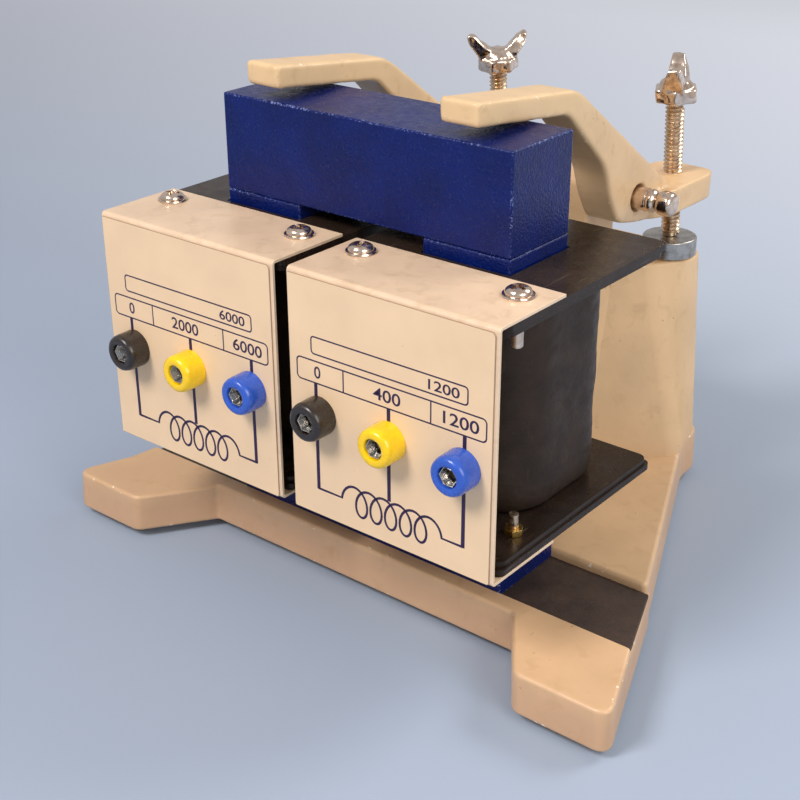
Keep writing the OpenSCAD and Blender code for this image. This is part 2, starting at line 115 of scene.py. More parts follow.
class TransformerColors(bpy.types.PropertyGroup):
    """Colours of the finishes"""

    cast: hue("Casting", "Cream enamel of the stand and arms", 227, 192, 147)
    sheet: hue("Covers", "Cream enamel of the sheet covers", 228, 200, 170)
    panel: hue("Panels", "Ground of the printed panels", 236, 206, 169)
    ink: hue("Print", "Ink of the printed lines and figures", 40, 16, 62)
    core: hue("Core", "Navy enamel of the core and yoke", 0, 22, 90)
    board: hue("Board", "Phenolic board of the coil flanges", 44, 33, 27)
    tape: hue("Tape", "Insulating tape round the windings", 48, 37, 30)
    pad: hue("Pad", "Fibre pad under the core", 60, 45, 37)
    yellow: hue("Yellow", "Yellow socket collars", 252, 207, 0)
    blue: hue("Blue", "Blue socket collars", 42, 88, 192)
    dark: hue("Black", "Black socket collars and rubber", 33, 25, 22)
    floor: hue("Floor", "Plain floor and backdrop", 157, 171, 192)


def sizes():
    return bpy.context.scene.transformer_sizes


def colors():
    return bpy.context.scene.transformer_colors


# ---- finishes ----
class Finish:
    """A node material on Object coordinates, and the nodes it is built from."""

    def __init__(self, name, rough, metallic=0.0, **sockets):
        self.material = bpy.data.materials.new(name)
        self.material.use_nodes = True
        self.tree = self.material.node_tree
        self.shader = self.tree.nodes["Principled BSDF"]
        self.place = self.node("ShaderNodeTexCoord").outputs["Object"]
        self.shader.inputs["Roughness"].default_value = rough
        self.shader.inputs["Metallic"].default_value = metallic
        for key, value in sockets.items():
            self.shader.inputs[key.replace("_", " ")].default_value = value

    def node(self, kind, **settings):
        made = self.tree.nodes.new(kind)
        for key, value in settings.items():
            setattr(made, key, value)
        return made

    def link(self, source, target):
        """Wires a socket in, or sets a number or a colour."""
        if isinstance(source, bpy.types.NodeSocket):
            self.tree.links.new(source, target)
        elif isinstance(source, (int, float)):
            target.default_value = source
        else:
            target.default_value = (*tuple(source)[:3], 1.0)

    def stretched(self, x, y, z):
        """Object coordinates, scaled along each axis."""
        mapping = self.node("ShaderNodeMapping")
        mapping.inputs["Scale"].default_value = (x, y, z)
        self.link(self.place, mapping.inputs["Vector"])
        return mapping.outputs["Vector"]

    def noise(self, grain_mm, detail=3.0, where=None, distortion=0.0):
        made = self.node("ShaderNodeTexNoise")
        made.inputs["Scale"].default_value = 1 / (grain_mm * MM)
        made.inputs["Detail"].default_value = detail
        made.inputs["Distortion"].default_value = distortion
        self.link(where or self.place, made.inputs["Vector"])
        return made.outputs["Fac"]

    def rim(self):
        """The mark on rounded edges, where paint wears, and where painted highlights and
        painted shade lie.
        """
        return self.node("ShaderNodeAttribute", attribute_name="rim").outputs["Fac"]

    def ramp(self, value, *ends):
        """Maps a value between two (place, grey or colour) ends."""
        made = self.node("ShaderNodeValToRGB")
        for element, (place, tone) in zip(made.color_ramp.elements, ends):
            element.position = place
            element.color = (*tone, 1) if hasattr(tone, "__len__") else (
                tone, tone, tone, 1)
        self.link(value, made.inputs["Fac"])
        return made.outputs["Color"]

    def cloud(self, base, grain_mm, detail, dark, light, ends=(0.35, 0.7), **how):
        """A colour that drifts between a darker and a lighter tone of itself."""
        return self.ramp(self.noise(grain_mm, detail, **how),
                         (ends[0], shade(base, dark)), (ends[1], shade(base, light)))

    def patches(self, grain_mm, detail, start, full, share=1.0, **how):
        """A mask of patches, from nothing at start to its whole share."""
        return self.ramp(self.noise(grain_mm, detail, **how),
                         (start, 0.0), (full, share))

    def mix(self, share, below, above):
        made = self.node("ShaderNodeMix", data_type="RGBA")
        self.link(share, made.inputs[0])
        self.link(below, made.inputs[6])
        self.link(above, made.inputs[7])
        return made.outputs[2]

    def joined(self, first, second, operation="MULTIPLY"):
        made = self.node("ShaderNodeMath", operation=operation)
        self.link(first, made.inputs[0])
        self.link(second, made.inputs[1])
        return made.outputs[0]

    def axis(self, letter):
        made = self.node("ShaderNodeSeparateXYZ")
        self.link(self.place, made.inputs[0])
        return made.outputs[letter]

    def color(self, source):
        self.link(source, self.shader.inputs["Base Color"])

    def rough(self, source):
        self.link(source, self.shader.inputs["Roughness"])

    def dulled(self, grain_mm, detail, low, high, ends=(0.3, 0.75)):
        """Roughness that drifts from low to high."""
        self.rough(self.ramp(self.noise(grain_mm, detail),
                             (ends[0], low), (ends[1], high)))

    def bump(self, height, depth_mm, below=None):
        made = self.node("ShaderNodeBump")
        made.inputs["Distance"].default_value = depth_mm * MM
        made.inputs["Strength"].default_value = 1.0
        self.link(height, made.inputs["Height"])
        if below:
            self.link(below, made.inputs["Normal"])
        self.link(made.outputs["Normal"], self.shader.inputs["Normal"])
        return made.outputs["Normal"]


def shade(color, factor):
    return tuple(channel * factor for channel in color)


def cast_enamel():
    """Brushed-on cream enamel over a sand casting, chipped at its edges, with painted
    light on its high parts and painted shade near the bench.
    """
    f = Finish("cast_enamel", 0.42, Coat_Weight=0.12, Coat_Roughness=0.25)
    # painted light: the casting is painted paler above 0.14 m, so that the arms' tops look
    # lit from above
    high = f.ramp(f.axis("Z"), (0.14, 0.0), (0.16, 0.2))
    pale = f.mix(high, f.cloud(colors().cast, 26, 4, 0.90, 1.05), linear(236, 214, 166))
    low = f.ramp(f.axis("Z"), (0.012, 0.45), (0.026, 0.06))
    shaded_low = f.mix(low, pale, linear(176, 126, 106))      # painted shade: darker and pinker near the bench, where the covers shade the base
    grime = f.patches(7, 6, 0.56, 0.78, 0.45, distortion=0.6)
    toned = f.mix(grime, shaded_low, linear(186, 148, 104))
    pits = f.joined(f.patches(1.7, 2, 0.70, 0.76), f.patches(19, 1, 0.56, 0.6))
    marked = f.mix(f.joined(pits, 0.6), toned, linear(128, 92, 62))
    chips = f.joined(f.patches(2.6, 4, 0.66, 0.69), f.rim())
    f.color(f.mix(chips, marked, linear(240, 226, 202)))
    f.dulled(4, 3, 0.34, 0.52)
    swell = f.bump(f.noise(9, 2), 0.25)
    f.bump(f.noise(1.3, 3), 0.05, swell)
    return f.material


def sheet_enamel():
    """Stoved cream enamel on folded sheet, rubbed brown where it is handled."""
    f = Finish("sheet_enamel", 0.38, Coat_Weight=0.15, Coat_Roughness=0.2)
    cloud = f.cloud(colors().sheet, 15, 5, 0.93, 1.05, (0.34, 0.68))
    rubbed = f.patches(5.5, 7, 0.52, 0.80, 0.5, distortion=0.8)
    toned = f.mix(rubbed, cloud, linear(190, 158, 124))
    # painted highlight and wear: the rounded edges are painted paler, as light catches
    # them along the bends and the enamel wears there
    f.color(f.mix(f.joined(f.rim(), 0.35), toned, linear(246, 226, 196)))
    f.dulled(3, 4, 0.30, 0.48)
    f.bump(f.noise(1.1, 2), 0.025)
    return f.material


def panel_ground():
    """Screen-printed plate, faintly clouded, with a painted shadow line along its edge."""
    f = Finish("panel_ground", 0.42, Coat_Weight=0.1, Coat_Roughness=0.3)
    cloud = f.cloud(colors().panel, 22, 4, 0.96, 1.04)
    dusty = f.mix(f.patches(0.9, 1, 0.76, 0.80, 0.5), cloud, linear(168, 132, 104))
    # painted shadow: the plate's rounded edges are darkened, as the shadow line where it
    # meets the cover's bend
    f.color(f.mix(f.joined(f.rim(), 0.6), dusty, linear(92, 62, 50)))
    f.dulled(6, 3, 0.38, 0.48, (0.3, 0.7))
    f.bump(f.noise(0.8, 2), 0.012)
    return f.material


def panel_ink():
    f = Finish("panel_ink", 0.5)
    f.color(f.cloud(colors().ink, 1.5, 3, 0.8, 1.5, (0.35, 0.75)))
    f.bump(f.noise(0.4, 2), 0.01)
    return f.material


def core_enamel():
    """Thick navy enamel with an orange-peel skin, paler on its edges where it is chipped
    thin, with a painted highlight there.
    """
    f = Finish("core_enamel", 0.3, Coat_Weight=0.05, Coat_Roughness=0.16,
               Specular_IOR_Level=0.26)
    cloud = f.cloud(colors().core, 14, 4, 0.8, 1.2)
    dusty = f.mix(f.patches(0.55, 1, 0.64, 0.74, 0.4), cloud, linear(40, 66, 140))
    # wear and painted highlight: the edges are painted paler in patches, for chips and for
    # the glint along them
    wear_and_glint = f.joined(f.patches(0.7, 3, 0.54, 0.6), f.rim())
    where_wear_and_glint = f.ramp(f.noise(12, 2), (0.42, 0.12), (0.62, 0.7))
    f.color(f.mix(f.joined(wear_and_glint, where_wear_and_glint), dusty, linear(132, 148, 204)))
    f.dulled(2.4, 3, 0.24, 0.42, (0.3, 0.72))
    grain = f.bump(f.noise(0.8, 2), 0.26)
    f.bump(f.noise(5, 2), 0.15, grain)
    return f.material


def board():
    """Paper-phenolic sheet, cloudy from handling."""
    f = Finish("board", 0.3, Specular_IOR_Level=0.2)
    cloud = f.cloud(colors().board, 13, 5, 0.75, 1.2, (0.36, 0.7), distortion=0.8)
    scratch = f.patches(1.1, 3, 0.66, 0.72, 0.45, where=f.stretched(1, 0.06, 1))
    fleck = f.patches(0.7, 1, 0.72, 0.78, 0.6)
    f.color(f.mix(f.joined(scratch, fleck, "MAXIMUM"), cloud, linear(104, 88, 70)))
    f.dulled(5, 4, 0.2, 0.38)
    f.bump(f.noise(2.2, 3), 0.02)
    return f.material


def cloth_tape():
    """Black insulating tape pulled tight over the wires."""
    f = Finish("cloth_tape", 0.46, Specular_IOR_Level=0.2)
    cloud = f.cloud(colors().tape, 10, 5, 0.75, 1.25, (0.35, 0.72))
    scuffs = f.patches(3, 6, 0.6, 0.8, 0.3, where=f.stretched(1, 1, 0.4))
    f.color(f.mix(scuffs, cloud, linear(92, 76, 62)))
    f.dulled(3, 4, 0.36, 0.56)
    wrinkle = f.bump(f.noise(7, 3, f.stretched(1, 1, 1.8)), 0.35)
    f.bump(f.noise(0.7, 3), 0.03, wrinkle)
    return f.material


def fibre_pad():
    f = Finish("fibre_pad", 0.62)
    cloud = f.cloud(colors().pad, 9, 6, 0.7, 1.3)
    f.color(f.mix(f.patches(0.6, 1, 0.68, 0.75, 0.5), cloud, linear(112, 92, 80)))
    f.dulled(2, 4, 0.5, 0.78)
    f.bump(f.noise(0.8, 4), 0.06)
    return f.material


def plating(name, bright, dull, rough, stain_and_reflection):
    """Bright plating, darker in patches of tarnish, which on nickel also stand for painted
    brown reflections; both colours written in 0-255.
    """
    f = Finish(name, rough, 1.0)
    tarnish_and_reflection = f.patches(2.6, 5, 0.42, 0.72, stain_and_reflection, distortion=0.5)
    f.color(f.mix(tarnish_and_reflection, linear(*bright), linear(*dull)))
    f.dulled(1.2, 4, rough * 0.7, rough * 2.0)
    f.bump(f.noise(0.9, 3), 0.03)
    return f.material


def machined():
    """Turned steel with fine tool marks round its axis."""
    f = Finish("machined_steel", 0.3, 1.0)
    marks = f.noise(0.35, 2, f.stretched(0.12, 0.12, 1.0))
    f.color(f.ramp(f.noise(3, 5), (0.4, linear(176, 174, 170)),
                   (0.72, linear(138, 134, 128))))
    f.rough(f.ramp(marks, (0.3, 0.22), (0.7, 0.42)))
    f.bump(marks, 0.02)
    return f.material


def moulded(name, base, rough=0.22):
    """Glossy moulded plastic with handling scuffs."""
    f = Finish(name, rough, Coat_Weight=0.3, Coat_Roughness=0.1)
    f.color(f.cloud(base, 4, 4, 0.92, 1.06))
    f.dulled(1.4, 4, rough * 0.8, rough * 1.7, (0.35, 0.75))
    f.bump(f.noise(1.8, 2), 0.02)
    return f.material


def rubber():
    f = Finish("rubber", 0.7)
    f.color(f.cloud(colors().dark, 3, 4, 0.5, 0.9))
    f.dulled(1, 3, 0.6, 0.82, (0.3, 0.7))
    f.bump(f.noise(0.5, 3), 0.03)
    return f.material


FINISHES = {
    "cast": cast_enamel,
    "sheet": sheet_enamel,
    "panel": panel_ground,
    "ink": panel_ink,
    "core": core_enamel,
    "board": board,
    "tape": cloth_tape,
    "pad": fibre_pad,
    # nickel: the warm bright colour and the brown patches are painted reflections of a
    # brown room, with tarnish
    "nickel": lambda: plating("nickel", (222, 204, 188), (138, 104, 78), 0.15, 0.5),
    "bright": lambda: plating("bright_steel", (214, 212, 208), (120, 112, 106), 0.14, 0.3),
    "thread": lambda: plating("thread", (216, 194, 166), (150, 114, 88), 0.24, 0.6),
    "brass": lambda: plating("brass", (198, 162, 92), (96, 70, 38), 0.24, 0.7),
    "steel": machined,
    "yellow": lambda: moulded("collar_yellow", colors().yellow),
    "blue": lambda: moulded("collar_blue", colors().blue),
    "black": lambda: moulded("collar_black", colors().dark, 0.3),
    "rubber": rubber,
}


@functools.cache
def finish(name):
    """The finish of that name, made once."""
    return FINISHES[name]()


# ---- mesh making, in millimetres ----
def new_mesh():
    """An empty bmesh with the layer that marks rounded edges."""
    bm = bmesh.new()
    bm.faces.layers.float.new("rim")
    return bm


def outline(corners, segments=5):
    """A flat face through (a, b) corners; a third number rounds the corner."""
    bm = new_mesh()
    ring = [bm.verts.new((c[0], c[1], 0)) for c in corners]
    bm.faces.new(ring)
    rounded = {}
    for vert, corner in zip(ring, corners):
        if len(corner) > 2 and corner[2]:
            rounded.setdefault(corner[2], []).append(vert)
    for radius, verts in rounded.items():
        bmesh.ops.bevel(
            bm, geom=verts, offset=radius, offset_type="OFFSET", segments=segments,
            profile=0.5, affect="VERTICES", material=-1, clamp_overlap=True)
    return bm


def both_sides(half):
    """A half outline from front to back, with its mirror image."""
    return list(half) + [(-c[0], *c[1:]) for c in reversed(half)]


def hexagon(radius, turn=0, ease=0):
    """Six corners on a circle, for an outline."""
    angles = [math.radians(60 * k + turn) for k in range(6)]
    return [(radius * math.cos(a), radius * math.sin(a), ease) for a in angles]


def sliced(bm, place, way=1, clear=False):
    """Cuts a mesh across Y, and may clear what lies beyond the cut."""
    bmesh.ops.bisect_plane(
        bm, geom=bm.verts[:] + bm.edges[:] + bm.faces[:],
        plane_co=(0, place, 0), plane_no=(0, way, 0), clear_outer=clear)


def raised(bm, height):
    """Extrudes a flat face into a solid of that height."""
    out = bmesh.ops.extrude_face_region(bm, geom=bm.faces[:])
    verts = [g for g in out["geom"] if isinstance(g, bmesh.types.BMVert)]
    bmesh.ops.translate(bm, vec=(0, 0, height), verts=verts)
    bmesh.ops.recalc_face_normals(bm, faces=bm.faces)
    return bm


def eased(bm, radius, segments=3, keep=None, sharp=28):
    """Rounds the edges that turn by more than sharp degrees."""
    limit = math.radians(sharp)
    edges = [e for e in bm.edges if e.is_manifold
             and e.calc_face_angle(0) > limit and (keep is None or keep(e))]
    out = bmesh.ops.bevel(
        bm, geom=edges, offset=radius, offset_type="OFFSET", segments=segments,
        profile=0.5, affect="EDGES", material=-1, clamp_overlap=True)
    rim = bm.faces.layers.float["rim"]
    for face in out["faces"]:
        face[rim] = 1.0
    return bm


def turned(profile, steps=48, ring=False):
    """Spins (radius, height) points about Z."""
    bm = new_mesh()
    verts = [bm.verts.new((r, 0, h)) for r, h in profile]
    pairs = list(zip(verts, verts[1:]))
    if ring:
        pairs.append((verts[-1], verts[0]))
    edges = [bm.edges.new(pair) for pair in pairs]
    bmesh.ops.spin(
        bm, geom=verts + edges, cent=(0, 0, 0), axis=(0, 0, 1),
        angle=math.tau, steps=steps, use_merge=True)
    bmesh.ops.remove_doubles(bm, verts=bm.verts, dist=1e-4)
    bmesh.ops.recalc_face_normals(bm, faces=bm.faces)
    return bm


def set_down(bm, x=0, y=0, z=0, turn=None):
    """Turns a mesh and moves it to its place."""
    matrix = Matrix.Translation((x, y, z))
    if turn is not None:
        matrix = matrix @ turn.to_4x4()
    bmesh.ops.transform(bm, matrix=matrix, verts=bm.verts)
    return bm


SIDEWAYS = Matrix(((0, 0, 1), (1, 0, 0), (0, 1, 0)))   # a -> y, b -> z, up -> x
FACING = Matrix(((1, 0, 0), (0, 0, -1), (0, 1, 0)))    # a -> x, b -> z, up -> -y


def about_z(degrees):
    return Matrix.Rotation(math.radians(degrees), 3, "Z")


def slab(corners, height, place, turn, ease, segments=3, sharp=28):
    """A solid of one outline, turned, put in its place and eased."""
    bm = set_down(raised(outline(corners), height), *place, turn)
    return eased(bm, ease, segments, sharp=sharp)


def measured(mesh):
    """A bmesh of a mesh in metres, in millimetres and with its edges' layer."""
    bm = new_mesh()
    bm.from_mesh(mesh)
    if "rim" not in bm.faces.layers.float:
        bm.faces.layers.float.new("rim")
    bmesh.ops.scale(bm, vec=(1 / MM,) * 3, verts=bm.verts)
    return bm


def softened(node, radius):
    """A merged copy of a CAD node with its edges eased."""
    bm = measured(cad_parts[node].data)
    bmesh.ops.remove_doubles(bm, verts=bm.verts, dist=1e-3)
    bmesh.ops.dissolve_limit(
        bm, angle_limit=math.radians(0.5), verts=bm.verts, edges=bm.edges)
    bmesh.ops.recalc_face_normals(bm, faces=bm.faces)
    return eased(bm, radius, 2)


def merged(shells):
    whole = new_mesh()
    for shell in shells:
        mesh = bpy.data.meshes.new("shell")
        shell.to_mesh(mesh)
        shell.free()
        whole.from_mesh(mesh)
        bpy.data.meshes.remove(mesh)
    return whole


def placed(name, data):
    """A new object in the scene."""
    made = bpy.data.objects.new(name, data)
    bpy.context.scene.collection.objects.link(made)
    return made


def evaluated(made):
    """An object's mesh as its modifiers or its curve give it."""
    graph = bpy.context.evaluated_depsgraph_get()
    return bpy.data.meshes.new_from_object(made.evaluated_get(graph))


def bare(name, shells, sharp=32):
    """Makes an object of closed shells, scaled to metres."""
    bm = merged(shells)
    bmesh.ops.scale(bm, vec=(MM,) * 3, verts=bm.verts)
    mesh = bpy.data.meshes.new(name)
    bm.to_mesh(mesh)
    bm.free()
    mesh.shade_smooth()
    mesh.set_sharp_from_angle(angle=math.radians(sharp))
    return placed(name, mesh)


def piece(name, shells, body, coat, stands_for=(), sharp=32, even=True):
    """Makes an object with its finish and its place on the frame."""
    made = bare(name, shells, sharp)
    if even:
        weights = made.modifiers.new("Even shading", "WEIGHTED_NORMAL")
        weights.keep_sharp = True
        weights.weight = 100
    made.data.materials.append(finish(coat))
    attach(made, body)
    if stands_for:
        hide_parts(*stands_for)


def baked(made):
    """Applies an object's modifiers to its mesh."""
    done, old = evaluated(made), made.data
    made.modifiers.clear()
    made.data = done
    bpy.data.meshes.remove(old)


def taken_back(made):
    """Turns an object back into a bmesh."""
    bm = measured(made.data)
    bpy.data.objects.remove(made)
    return bm


def recoat(node, coat):
    """A new finish on a CAD node that keeps its shape."""
    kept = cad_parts[node]
    if not kept.data.materials:
        kept.data.materials.append(finish(coat))
    for place in kept.material_slots:
        place.material = finish(coat)


# ---- printed lines, in panel millimetres ----
INK = 0.02      # thickness of the ink


def strokes(lines, width):
    """Flat strokes along (points, closed) lines."""
    curve = bpy.data.curves.new("strokes", "CURVE")
    curve.dimensions = "3D"
    curve.bevel_depth = width / 2
    curve.bevel_resolution = 1
    curve.use_fill_caps = True
    for points, closed in lines:
        spline = curve.splines.new("POLY")
        spline.points.add(len(points) - 1)
        for target, (a, b) in zip(spline.points, points):
            target.co = (a, b, 0, 1)
        spline.use_cyclic_u = closed
    return flat_mesh(curve, INK / (width / 2))


def figures(text, height, left, right, b):
    """Figures of one height that reach from left to right, at b."""
    a, width = (left + right) / 2, right - left
    curve = bpy.data.curves.new("figures", "FONT")
    curve.body = text
    curve.extrude = 1.0
    curve.offset = 0.011
    bm = flat_mesh(curve, INK)
    low = Vector(map(min, zip(*[v.co for v in bm.verts])))
    high = Vector(map(max, zip(*[v.co for v in bm.verts])))
    bmesh.ops.translate(bm, vec=-(low + high) / 2, verts=bm.verts)
    scale = (width / (high.x - low.x), height / (high.y - low.y), 1)
    bmesh.ops.scale(bm, vec=scale, verts=bm.verts)
    return set_down(bm, a, b, 0)


def flat_mesh(curve, squeeze):
    """Turns a curve into a bmesh pressed flat."""
    made = placed("print", curve)
    mesh = evaluated(made)
    bm = new_mesh()
    bm.from_mesh(mesh)
    bmesh.ops.scale(bm, vec=(1, 1, squeeze), verts=bm.verts)
    bmesh.ops.remove_doubles(bm, verts=bm.verts, dist=1e-4)
    bpy.data.objects.remove(made)
    bpy.data.meshes.remove(mesh)
    bpy.data.curves.remove(curve)
    return bm


def frame_line(a0, a1, b0, b1, r):
    """A closed line round a rectangle with rounded corners."""
    points = []
    for a, b, start in ((a1 - r, b1 - r, 0), (a0 + r, b1 - r, 90),
                        (a0 + r, b0 + r, 180), (a1 - r, b0 + r, 270)):
        for step in range(5):
            turn = math.radians(start + step * 22.5)
            points.append((a + r * math.cos(turn), b + r * math.sin(turn)))
    return points, True


def coil_symbol(a, b):
    """The looped line of a coil, from left to right."""
    pitch = 5.65 / math.tau
    points = []
    for step in range(-6, 127):
        turn = step * math.pi / 12
        points.append((a + pitch * turn + 3.5 * math.sin(turn),
                       b + 4.8 * math.cos(turn)))
    return points


# ---- operators: one for each piece or group of like pieces ----
BENCH = span("foot_front_left")[0].z
CAST_Z = BENCH + 3.0                 # underside of the casting, on its feet
TOWER_Z = span("right_disc")[1].z - 7.0      # under the discs
ARM_X = 38.3                         # from the middle to each arm
DRAFT = 0.0004                       # how much the base slims in each mm upwards
DRAFT_Y = 45                         # the line towards which it slims


def cast_block(corners, low, high, top, rim):
    """A slice of the base, rounded along its outer edges."""
    bm = outline(corners)
    sliced(bm, low, -1, clear=True)
    sliced(bm, high, 1, clear=True)
    raised(bm, top - CAST_Z)
    set_down(bm, z=CAST_Z)

    def outer(edge):
        level = [v.co.z for v in edge.verts]
        flat = min(level) > top - 0.01 or max(level) < CAST_Z + 0.01
        cut = any(all(abs(v.co.y - y) < 0.01 for v in edge.verts)
                  for y in (low, high))
        return flat and not cut
    eased(bm, rim, 4, outer)
    for vert in bm.verts:            # draft, so that it leaves the mould
        slim = 1 - DRAFT * (vert.co.z - CAST_Z)
        vert.co.x *= slim
        vert.co.y = DRAFT_Y + (vert.co.y - DRAFT_Y) * slim
    return set_down(bm, y=CORE.y)


def proud(bm, lip, rise, run):
    """Lets a block's top rise towards the channel, to stand proud of the pad."""
    sliced(bm, lip - run)
    top = max(v.co.z for v in bm.verts)
    for vert in bm.verts:
        share = max(0.0, 1 - (lip - vert.co.y) / run)
        vert.co.z += rise * min(1.0, share) * (vert.co.z > top - 2)
    return bm


def lofted(*levels):
    """A solid through outlines of equal counts, each (corners, z)."""
    whole = merged([set_down(outline(c), z=z) for c, z in levels])
    inner = [f for f in whole.faces
             if not any(abs(f.calc_center_median().z - levels[i][1]) < 1e-3
                        for i in (0, -1))]
    bmesh.ops.delete(whole, geom=inner, context="FACES_ONLY")
    for (_, low), (_, high) in zip(levels, levels[1:]):
        loops = [e for e in whole.edges
                 if all(min(abs(v.co.z - low), abs(v.co.z - high)) < 1e-3
                        for v in e.verts)
                 and abs(e.verts[0].co.z - e.verts[1].co.z) < 1e-3]
        bmesh.ops.bridge_loops(whole, edges=loops)
    bmesh.ops.recalc_face_normals(whole, faces=whole.faces)
    return whole


class TRANSFORMER_OT_stand(bpy.types.Operator):
    """Cast stand: base with its feet, step, tower and pin lug"""
    bl_idname = "transformer.stand"
    bl_label = "Cast stand"

    def execute(self, context):
        rim = sizes().cast_rim / MM
        pad_low, pad_high = span("seat_pad")
        lip, step = pad_low.y - CORE.y - 0.2, pad_high.y - CORE.y + 0.2
        tail = [(94.8, step), (53.1, 115.5, 4), (53.1, 134, 11)]
        base = both_sides([(66.5, -21, 1), (83.9, -46, 2.5), (118.1, -46, 6)] + tail)
        rear = both_sides([(94.4, step, 2.8)] + tail[1:])
        foot = [(30.9, 77.1, 0), (58.3, 102.5, 6), (54.6, 111.5, 2),
                (52.9, 117, 2), (52.2, 125, 4), (45.9, 132.4, 4)]
        crown = [(30.9, 90.5, 0), (40, 102.7, 4), (46.6, 111.2, 3),
                 (48.3, 117.2, 2), (48.3, 123.2, 3), (44, 129.7, 3)]
        flare = [(a, b - (1.0 if b < 110 else 0), r) for a, b, r in foot]
        tower = lofted((both_sides(flare), PAD_Z + 2.0), (both_sides(foot), PAD_Z + 5),
                       (both_sides(crown), TOWER_Z))
        eased(tower, rim * 0.9, 4, lambda e: min(v.co.z for v in e.verts) > TOWER_Z - 0.1)
        set_down(tower, y=CORE.y)
        lug = slab([(-9.25, 5), (19.2, 5), (19.2, 73.3, 2), (9.25, 87.3, 4),
                    (9.25, 132, 4), (-9.25, 132, 4)], 62, (-31, PIN.y, 0), SIDEWAYS, 1.2)
        front = cast_block(base, -80, lip, PAD_Z, rim)
        piece("stand_casting", [
            proud(front, lip + CORE.y, rise=1.4, run=9),
            cast_block(base, lip, step + 3.2, pad_low.z, 1.0),
            cast_block(rear, step - 1, 200, PAD_Z + 2.7, 1.6),
            tower, lug], "stand", "cast", ["stand"], sharp=40)
        return {"FINISHED"}


class TRANSFORMER_OT_pad(bpy.types.Operator):
    """Fibre pad that lies in the base's channel"""
    bl_idname = "transformer.pad"
    bl_label = "Seat pad"

    def execute(self, context):
        piece("fibre_pad", [softened("seat_pad", 0.35)], "stand", "pad",
              ["seat_pad"])
        return {"FINISHED"}


class TRANSFORMER_OT_feet(bpy.types.Operator):
    """Rubber feet pushed into the underside of the casting"""
    bl_idname = "transformer.feet"
    bl_label = "Rubber feet"

    def execute(self, context):
        for end in ("front", "back"):
            for side in SIDES:
                node = f"foot_{end}_{side}"
                spot = middle(node)
                foot = turned([(0, 0), (5.9, 0), (6.5, 0.4), (6.9, 1.4), (7, 2.6),
                               (6.6, 3.0), (3, 3.0), (3, 7.5), (2.6, 8), (0, 8)])
                set_down(foot, spot.x, spot.y, BENCH)
                piece("rubber_" + node, [foot], "stand", "rubber", [node])
        return {"FINISHED"}


class TRANSFORMER_OT_pin(bpy.types.Operator):
    """Pivot pin with a grooved grip at each end"""
    bl_idname = "transformer.pin"
    bl_label = "Pivot pin"

    def execute(self, context):
        half = span("pivot_pin")[1].x
        end = [(4, half - 10.2), (3.7, half - 9.9), (3.6, half - 9.5),
               (3.9, half - 9.1), (4.05, half - 8.5), (3.9, half - 7.7),
               (3.4, half - 7.1), (3.05, half - 6.8), (3.05, half - 6.3),
               (3.5, half - 5.8), (4.05, half - 5.1), (4.2, half - 4.2),
               (4.2, half - 1.9), (4.0, half - 1.0), (3.5, half - 0.4),
               (2.6, half - 0.05), (0, half)]
        whole = turned([(r, -x) for r, x in reversed(end)] + end, 40)
        set_down(whole, 0, PIN.y, PIN.z, SIDEWAYS)
        piece("steel_pin", [whole], "stand", "nickel", ["pivot_pin"], sharp=50)
        return {"FINISHED"}


class TRANSFORMER_OT_discs(bpy.types.Operator):
    """Turned thrust discs on top of the tower"""
    bl_idname = "transformer.discs"
    bl_label = "Thrust discs"

    def execute(self, context):
        for side in SIDES:
            node = side + "_disc"
            low, high = span(node)
            r = (high.x - low.x) / 2
            disc = turned([(0, 0), (r - 0.5, 0), (r, 0.5), (r, 6.4), (r - 0.25, 6.8),
                           (r - 0.6, 7), (1.2, 7), (0.8, 6.7), (0, 6.7)], 64)
            spot = middle(node)
            set_down(disc, spot.x, spot.y, TOWER_Z)
            piece("thrust_" + node, [disc], "stand", "steel", [node])
        return {"FINISHED"}


class TRANSFORMER_OT_core(bpy.types.Operator):
    """U-core and the yoke across its legs"""
    bl_idname = "transformer.core"
    bl_label = "Core and yoke"

    def execute(self, context):
        edge = sizes().core_edge / MM
        low, high = span("u_core")
        x, leg, top = (high.x - low.x) / 2, 32, high.z - low.z
        u_shape = slab([(-x, 0), (x, 0), (x, top), (x - leg, top), (x - leg, leg),
                        (leg - x, leg), (leg - x, top), (-x, top)],
                       high.y - low.y, (CORE.x, high.y, low.z), FACING, edge)
        piece("core_block", [u_shape], "core", "core", ["u_core"])
        low, high = span("yoke")
        bar = slab([(low.x, low.y), (high.x, low.y), (high.x, high.y), (low.x, high.y)],
                   high.z - low.z, (0, 0, low.z), None, edge)
        piece("yoke_bar", [bar], "yoke", "core", ["yoke"])
        return {"FINISHED"}


class TRANSFORMER_OT_bobbins(bpy.types.Operator):
    """Phenolic bobbins and the loose cheek boards on their flanges"""
    bl_idname = "transformer.bobbins"
    bl_label = "Bobbins"

    def execute(self, context):
        for side in SIDES:
            body = side + "_coil"
            piece(side + "_bobbin_board", [softened(side + "_bobbin", 0.35)],
                  body, "board", [side + "_bobbin"])
            for end in ("low", "top"):
                node = f"{side}_cheek_{end}"
                piece(node + "_board", [softened(node, 0.3)], body, "board",
                      [node])
        return {"FINISHED"}


def ripple(x, y, z):
    """A smooth random height from about 0 to 1."""
    return 0.5 + 0.5 * noise.noise(Vector((x, y, z)))


